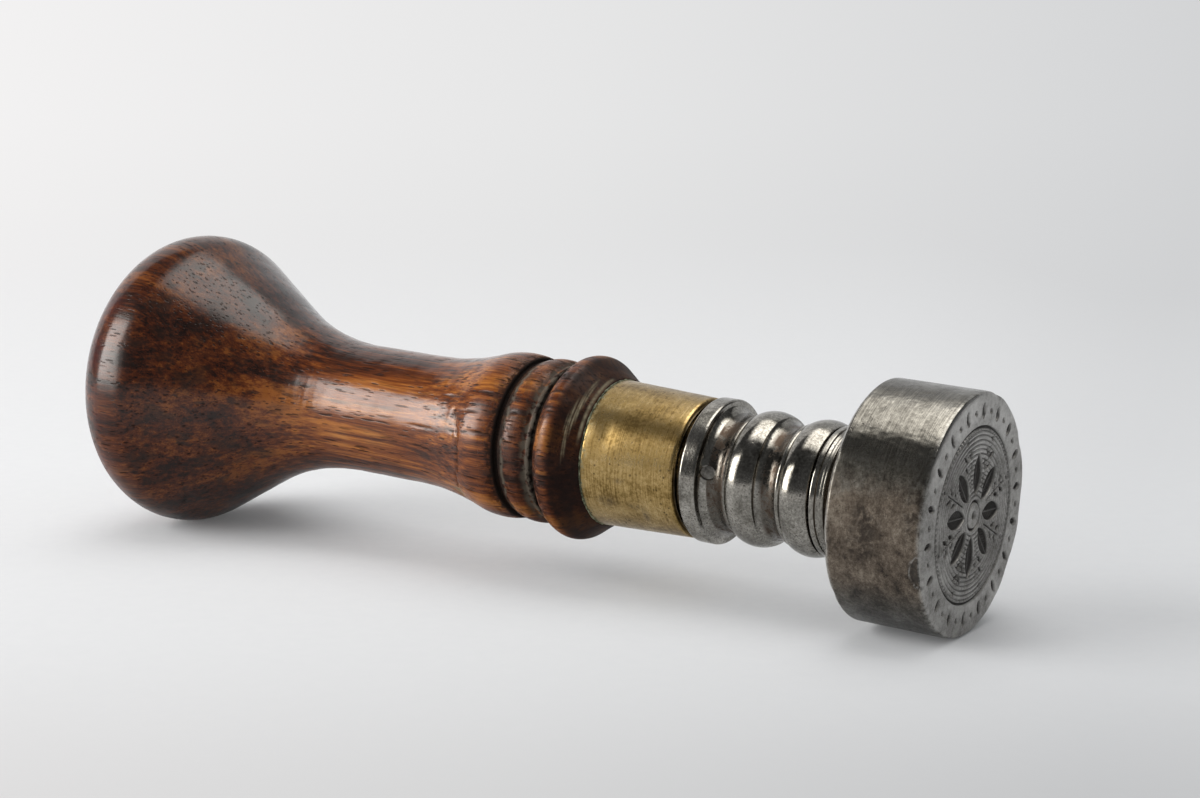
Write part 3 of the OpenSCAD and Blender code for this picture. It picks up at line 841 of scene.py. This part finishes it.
def make_stem():
    """The steel stem, sunk round the end of the cross pin so that the pin's own end shows."""
    points = outline_of("stem", middle=PIN_A + math.pi / 2, half=math.radians(STEM_SECTOR))
    s, r = points.T
    first = min(np.nonzero(s >= DIE_BACK - SAME)[0])
    end_face = s >= s.max() - SAME
    last = max(np.nonzero(end_face & (r > r[end_face].mean()))[0])
    shown = worn(rounded(points[first:last + 1]), WEAR["stem"], lambda s, r: SPACING["stem"])

    def offset(S, A, R):
        sunk = PIN_SUNK * smooth(from_pin(S, A, R), PIN_R + 0.12, PIN_R - 0.08)
        return -sunk - 0.12 * spot(S, A, R, *FLANGE_NICK) - 0.1 * spot(S, A, R, *COVE_NICK)

    outline = np.concatenate([to_axis(points[0]), points[:first], shown, points[last + 1:],
                              to_axis(points[-1])])
    piece, (S, A, R) = lathe("stem_steel", outline, TURNS["stem"], offset)
    narrow = np.interp(S, *groove_depth(shown, GROOVE_REACH))
    wide = np.interp(S, *groove_depth(shown, HOLLOW_REACH))
    foot = 0.8 * smooth(S - DIE_BACK, *FOOT_GRIME)
    seam = smooth(from_pin(S, A, R), PIN_R + 0.25, PIN_R)
    paint(piece, "hollow", np.maximum(smooth(wide, 0.12, 0.75), foot))
    paint(piece, "grime", np.max([0.9 * smooth(narrow, 0.85, 1.25), 0.6 * seam, 0.72 * foot], 0))
    return piece


# How near to the rim the die's side lies; where the circle line is looked for, as shares of the radius
RIM_BAND = 0.95
LINE_SHARE = 0.72
LINE_BAND = 0.03


def die_sizes():
    """Sizes of the die and of the engraving in its face, read from the CAD node."""
    x, y, s = seal_points("die").T
    r = np.hypot(x, y)
    rim = r.max()
    side = np.unique(np.round(np.stack([s, r], 1)[r > rim - RIM_BAND], 3), axis=0)
    face_r = side[0, 1]
    near_face = s < DIE_BACK / 4
    socket = r[s > DIE_BACK - SAME].min()
    on_face = (s < SAME) & (r < face_r - 0.3)
    tips = np.arctan2(y, x)[on_face & (r > r[on_face].max() - 0.02)]
    leaves = round(math.tau / np.diff(np.unique(np.round(tips, 3))).min())
    line = r[on_face & (np.abs(r / rim - LINE_SHARE) < LINE_BAND)]
    return SimpleNamespace(
        rim=rim, side=side, face_r=face_r, socket=socket, leaves=leaves,
        socket_end=s[(r < socket + SAME) & ~near_face].min(), depth=s[(r < face_r - 0.5) & near_face].max(),
        roll=np.angle(np.exp(1j * leaves * tips).mean()) / leaves,
        ring_at=(line.max() + line.min()) / 2, ring_half=np.ptp(line) / 2)


DIE = die_sizes()
# The engraving: length and width of a border leaf, a petal and a sprig leaf, and a pellet's radius out and in
LEAF = (2.5, 1.1)
PETAL = (6.6, 3.0)
SPRIG = (1.9, 0.75)
PELLET = (0.46, 0.28)
# The flower: petals and the radius of their middles, slant and pitch of their veins, its ring and its eye
PETALS = 8
PETAL_AT = 6.4
VEIN_SLANT = 1.1
VEIN_PITCH = 0.62
HEART_RING = 2.2
HEART_EYE = (0.75, 0.5)
# Between the petals: ends of a stalk, the pellet after it, radius and lean of its leaves, and their offset
STALK = (4.4, 11.2)
STALK_PELLET = 12.3
SPRIGS = ((8.2, 0.62), (10.0, 0.75))
SPRIG_OFF = 0.85
# Pitch of the hatching and the radius that it leaves free; short rays inside the circle line and their ends
HATCH = 0.7
HATCH_FROM = 3.0
RAYS = 96
RAY_ENDS = (0.62, 0.24)
# Where the face ends inside its edge, points along face and back, and reach of finer points at the corners
FACE_INSET = 0.1
FACE_POINTS = 150
BACK_POINTS = 16
FRONT_CORNER = 2.5
BACK_CORNER = 1.2
# The chip in the front corner, nicks and a dent with their depths last, and dark blotches on the side
CHIP = (0.4, -107, 1.7, 3.0)
NICKS = ((0.2, -60, 0.7, 0.8, 0.12), (0.2, -150, 0.7, 1.0, 0.15), (0.2, 20, 0.7, 1.2, 0.14),
         (0.2, 62, 0.7, 1.4, 0.22), (0.2, 95, 0.7, 1.9, 0.3), (0.2, 125, 0.7, 1.5, 0.2),
         (DIE_BACK, -60, 0.7, 0.8, 0.12), (DIE_BACK, -130, 0.7, 1.0, 0.14), (DIE_BACK, -102, 0.9, 1.3, 0.2))
BLOTCHES = ((8.8, -84, 2.4, 2.6), (9.4, -97, 3.0, 2.6), (8.1, -135, 2.4, 3.0), (1.4, -76, 2.0, 6.0))


def leaf_depth(u, v, length, width):
    """1 inside a pointed leaf with soft carved walls, 0 outside; and how far a point lies inside its edge."""
    r = (length ** 2 + width ** 2) / (4 * width)
    inside = r - np.hypot(u, np.abs(v) + r - width / 2)
    return smooth(inside, -0.06, 0.16), inside


def nearest_ray(A, R, count, share=0.0):
    """How far points lie along and across the nearest of even rays, set off by a share of their pitch."""
    pitch = math.tau / count
    turn = ((A / pitch - share + 0.5) % 1 - 0.5) * pitch
    return R * np.cos(turn), R * np.sin(turn)


def stripes(values, edge, core):
    """1 in the middle of each whole step of the values, with soft edges."""
    return smooth(np.abs(values % 1 - 0.5), edge, core)


def carving(S, A, R):
    """Depth of the cuts as a share of the deepest: circle line, border, flower, sprigs, hatching, rays."""
    A = A - DIE.roll
    cuts = [smooth(np.abs(R - DIE.ring_at), DIE.ring_half + 0.05, DIE.ring_half - 0.1)]
    border = (DIE.ring_at + DIE.ring_half + DIE.face_r) / 2
    u, v = nearest_ray(A, R, DIE.leaves)
    cuts.append(leaf_depth(u - border, v, *LEAF)[0] * (1 - 0.45 * smooth(np.abs(v), 0.14, 0.04)))
    u, v = nearest_ray(A, R, DIE.leaves, 0.5)
    cuts.append(smooth(np.hypot(u - border, v), *PELLET))

    u, v = nearest_ray(A, R, PETALS)
    petal, inside = leaf_depth(u - PETAL_AT, v, *PETAL)
    veins = stripes((u - PETAL_AT - np.abs(v) * VEIN_SLANT) / VEIN_PITCH + 0.5, 0.24, 0.08) * (inside > 0.18)
    rib = smooth(np.abs(v), 0.2, 0.08)
    cuts.append(petal * (1 - 0.42 * np.maximum(0.7 * veins, rib)))
    cuts.append(smooth(np.abs(R - HEART_RING), 0.28, 0.13))
    cuts.append(0.6 * smooth(R, *HEART_EYE))

    u, v = nearest_ray(A, R, PETALS, 0.5)
    cuts.append(smooth(np.hypot(u - STALK_PELLET, v), *PELLET))
    cuts.append(0.75 * smooth(np.abs(v), 0.2, 0.07) * (u > STALK[0]) * (u < STALK[1]))
    for at, lean in SPRIGS:
        p, q = u - at, np.abs(v) - SPRIG_OFF
        cos, sin = math.cos(lean), math.sin(lean)
        cuts.append(0.85 * leaf_depth(p * cos + q * sin, q * cos - p * sin, *SPRIG)[0])

    total = np.max(cuts, 0)
    free = (R > HATCH_FROM) & (R < DIE.ring_at - 0.6) & (total < 0.04) & (inside < -0.12)
    hatch = stripes(R / HATCH, 0.24, 0.1) * free
    ray_from, ray_to = DIE.ring_at - np.array(RAY_ENDS)
    rays = stripes(A / (math.tau / RAYS), 0.3, 0.12) * (R > ray_from) * (R < ray_to)
    return np.max([total, 0.45 * hatch, 0.45 * rays], 0) * (S < 0.02) * (R < DIE.face_r)


def chipped(S, A, R):
    """How much of the front corner is chipped away at a point."""
    return smooth(spot(S, A, R, *CHIP) + 0.12 * ripple(A * 20 + S * 3, 2, (1, 2, 3)), 0.35, 0.6)


def disc(s, begin, end, count):
    """Outline points from one radius to another at one station."""
    return np.stack([np.full(count, s), np.linspace(begin, end, count)], 1)


def make_die():
    """The steel die with its engraved face, worn corners, chip and nicks."""
    inner = DIE.face_r - FACE_INSET

    def spacing(s, r):
        corners = (s < FRONT_CORNER) | (s > DIE_BACK - BACK_CORNER)
        return np.where(corners, SPACING["corners"], SPACING["die"])

    edges = worn(rounded(np.concatenate([[[0, inner]], DIE.side])), WEAR["die"], spacing)
    back = disc(DIE_BACK, edges[-1, 1] - 0.2, DIE.socket, BACK_POINTS)
    socket = [[DIE.socket_end, DIE.socket], [DIE.socket_end, 0]]
    outline = np.concatenate([disc(0.0, 0, inner, FACE_POINTS), edges[1:], back, socket])

    def offset(S, A, R):
        corners = smooth(R, DIE.face_r - 0.5, DIE.face_r + 0.2)
        nicks = sum(depth * spot(S, A, R, *at) for *at, depth in NICKS)
        uneven = 0.07 * (1 + ripple(A, 16, (5, 9, 14, 23))) * smooth(S, 1.6, 0.2)
        return -DIE.depth * carving(S, A, R) - corners * (0.6 * chipped(S, A, R) + nicks + uneven)

    piece, (S, A, R) = lathe("die_steel", outline, TURNS["die"], offset)
    ragged = 1 + 0.5 * ripple(A * 9 + S * 2.1, 13, (1, 2.3, 3.9, 5.2))
    blotch = sum(spot(S, A, R, *at) for at in BLOTCHES)
    paint(piece, "blotch", smooth(blotch * ragged, 0.15, 0.8) * (S > 0.5))
    paint(piece, "cut", carving(S, A, R))
    paint(piece, "face", smooth(S, 0.35, 0.05))
    front = bell(S - 0.3, 0.35) * (R > DIE.face_r - 0.15)
    rear = bell(S - DIE_BACK + 0.25, 0.35) * (R > DIE.rim - 1)
    paint(piece, "edge", np.maximum(0.6 * front, rear))
    paint(piece, "chip", chipped(S, A, R) * smooth(R, DIE.face_r - 0.4, DIE.face_r + 0.2) * (S < 3))
    return piece


place(make_handle(), "handle_wood", waxed_wood(), "handle")
place(make_ferrule(), "ferrule_brass", old_brass(), "ferrule")
place(make_crust(), "ferrule_brass", green_crust())
place(make_stem(), "stem_steel", turned_steel(), "stem")
place(make_die(), "die_steel", die_steel(), "die")
for node, material in (("cross_pin", filed_pin()), ("tang", turned_steel())):
    frame["nodes"][node].data.materials.clear()
    frame["nodes"][node].data.materials.append(material)


# Studio, in metres

# Turn and dip of the camera, in degrees, its place from the middle of the engraved face, in mm, and its lens
VIEW_TURN = 32.24
VIEW_DIP = 10.165
VIEW_FROM_FACE = (148.28, -340.5, 83.65)
LENS_MM = 75
SENSOR_MM = 36
ahead = Vector((-math.sin(math.radians(VIEW_TURN)), math.cos(math.radians(VIEW_TURN)), 0))
aside = Vector((math.cos(math.radians(VIEW_TURN)), math.sin(math.radians(VIEW_TURN)), 0))

# Lights and cards: middle, way that each faces, width, height and brightness
LIGHTS = {"top_light": ((-0.06, 0.21, 0.8), (0, 0, -1), 0.48, 0.74, 2.6),
          "left_light": ((-1.37, -1.17, 0.9), (0.76, 0.649, 0), 1.716, 1.65, 6.5)}
CARDS = {"top_card": ((0.095, 0.06, 0.32), (0, 0, -1), 0.44, 0.32, 4.2),
         "left_card": ((-0.19, -0.153, 0.112), (0.209, 0.978, 0), 0.225, 0.215, 10.5)}
LIGHT_COLOR = (1.0, 1.0, 1.0)
CARD_COLOR = (1.0, 0.975, 0.93)
# A card is full up to this share of its size from the middle and fades from there to its edge
CARD_FULL = 0.26

PAPER_TONES = ((0.3, (0.70, 0.706, 0.714)), (0.7, (0.722, 0.727, 0.732)))
# The paper's glow from left to right, a painted falloff of light: brightest on the left, dimmest on the right
GLOW_FALLOFF_TONES = ((0.0, (0.90, 0.89, 0.89)), (0.5, (0.79, 0.79, 0.792)), (1.0, (0.65, 0.657, 0.667)))
# Way from the camera to the middle of the seal along the floor
STAND = 0.41
# Reach of the contact shadow under the seal
SHADOW_REACH = 0.035

# The room's colour, and its brightness as light, in reflections and to the camera
ROOM_COLOR = (0.96, 0.98, 1.0)
ROOM_LIGHT = 0.4
ROOM_GLOSS = 0.12
ROOM_SEEN = 0.76


def soften(lamp):
    """Light that fades towards the edges of its lamp."""
    lamp.use_nodes = True
    nodes = Nodes(lamp.node_tree)
    at = nodes.add("ShaderNodeNewGeometry", {})["Parametric"]
    ways = nodes.add("ShaderNodeSeparateXYZ", {0: at})[:2]
    fades = [nodes.smooth(nodes.math("ABSOLUTE", nodes.math("SUBTRACT", way, 0.5)), 0.5, CARD_FULL)
             for way in ways]
    nodes.join(nodes.times(*fades), nodes.tree.nodes["Emission"].inputs["Strength"])


def soft_light(name, centre, facing, width, height, radiance, card=False):
    """A rectangular soft light of a given brightness that faces one way; a card only shows in the gloss."""
    lamp = bpy.data.lights.new(name, "AREA")
    lamp.shape = "RECTANGLE"
    lamp.size, lamp.size_y = width, height
    lamp.color = CARD_COLOR if card else LIGHT_COLOR
    lamp.energy = radiance * math.pi * width * height
    rig = new_object(name, lamp)
    rig.location = centre
    rig.rotation_euler = Vector(facing).to_track_quat("-Z", "Y").to_euler()
    rig.visible_camera = False
    rig.visible_glossy = card
    rig.visible_diffuse = not card
    if card:
        soften(lamp)


def paper():
    """Pale paper with a trace of fibre; away from the seal it is as pale as the photograph's background."""
    look = Look("pale_paper")
    fibre = look.noise(0.4, detail=4)
    look.color = look.ramp(fibre, PAPER_TONES)
    look.finish(Roughness=0.9, Normal=look.bump(fibre, 0.1, 0.05))
    depth, side = [look.add("ShaderNodeVectorMath", {0: look.here, 1: way}, operation="DOT_PRODUCT")["Value"]
                   for way in (ahead, aside)]
    reach = look.add("ShaderNodeVectorMath", {0: look.here}, operation="LENGTH")["Value"]
    fan = look.math("DIVIDE", side, look.most(look.plus(depth, STAND), 0.1))
    strength = look.plus(look.smooth(depth, -0.15, 0.1, 0.82, 0.97), look.smooth(depth, 0.1, 1.2, 0, 0.03))
    glow = look.add("ShaderNodeEmission", {
        "Color": look.ramp(look.plus((fan, 2.0), 0.5), GLOW_FALLOFF_TONES), "Strength": strength})[0]
    ray = look.add("ShaderNodeLightPath", {})
    seen = look.plus(ray["Is Camera Ray"], ray["Is Glossy Ray"], ray["Is Transmission Ray"])
    open_sky = look.add("ShaderNodeAmbientOcclusion", {"Distance": SHADOW_REACH}, samples=8)["AO"]
    close = look.smooth(open_sky, 0.35, 0.88, 0.2, 1)
    share = look.plus(0.45, look.smooth(depth, -0.03, -0.13, 0, 0.5), look.smooth(depth, 0.05, 0.6, 0, 0.55))
    # Painted falloff: more of the dim glow is mixed in to the right of the seal
    right = look.times(look.smooth(fan, 0.12, 0.24), look.smooth(depth, -0.02, 0.12), 0.25)
    far = look.smooth(reach, 0.15, 0.5, 0, 0.95)
    share = look.times(look.most(look.plus(share, right), far), close)
    mixed = {0: look.times(share, seen), 1: look.shader.outputs[0], 2: glow}
    look.join(look.add("ShaderNodeMixShader", mixed)[0], look.tree.nodes["Material Output"].inputs["Surface"])
    return look.material


def make_sweep():
    """Paper floor that curves up to a wall far behind the seal, square to the view."""
    near, back, bend, top, half = -2.5, 1.1, 0.5, 2.4, 2.6
    curve = [(back + bend * math.sin(a), bend - bend * math.cos(a)) for a in np.linspace(0, math.pi / 2, 25)]
    line = [(near, 0), *curve, (back + bend, top)]
    points = [ahead * d + aside * w + Vector((0, 0, h)) for d, h in line for w in (-half, half)]
    faces = [(2 * i, 2 * i + 1, 2 * i + 3, 2 * i + 2) for i in range(len(line) - 1)]
    sweep = smooth_mesh("paper_sweep", points, faces)
    sweep.data.materials.append(paper())


def make_room():
    """A dim room: pale to the camera, dark in reflections and faint as light."""
    world = bpy.data.worlds.new("room")
    bpy.context.scene.world = world
    world.use_nodes = True
    nodes = Nodes(world.node_tree)
    ray = nodes.add("ShaderNodeLightPath", {})
    level = nodes.smooth(ray["Is Glossy Ray"], 0, 1, ROOM_LIGHT, ROOM_GLOSS)
    seen = {0: ray["Is Camera Ray"], 2: level, 3: ROOM_SEEN}
    ground = nodes.tree.nodes["Background"]
    nodes.join(ROOM_COLOR, ground.inputs["Color"])
    nodes.join(nodes.add("ShaderNodeMix", seen, data_type="FLOAT")[0], ground.inputs["Strength"])


def make_camera():
    """A camera where the photograph's stood."""
    lens = bpy.data.cameras.new("camera")
    lens.sensor_width = SENSOR_MM
    lens.lens = LENS_MM
    camera = new_object("camera", lens)
    camera.location = face_centre + Vector(VIEW_FROM_FACE) * MM
    camera.rotation_euler = (math.radians(90 - VIEW_DIP), 0, math.radians(VIEW_TURN))
    bpy.context.scene.camera = camera


make_sweep()
make_room()
make_camera()
for name, setting in LIGHTS.items():
    soft_light(name, *setting)
for name, setting in CARDS.items():
    soft_light(name, *setting, card=True)
bpy.context.scene.view_settings.view_transform = "Standard"
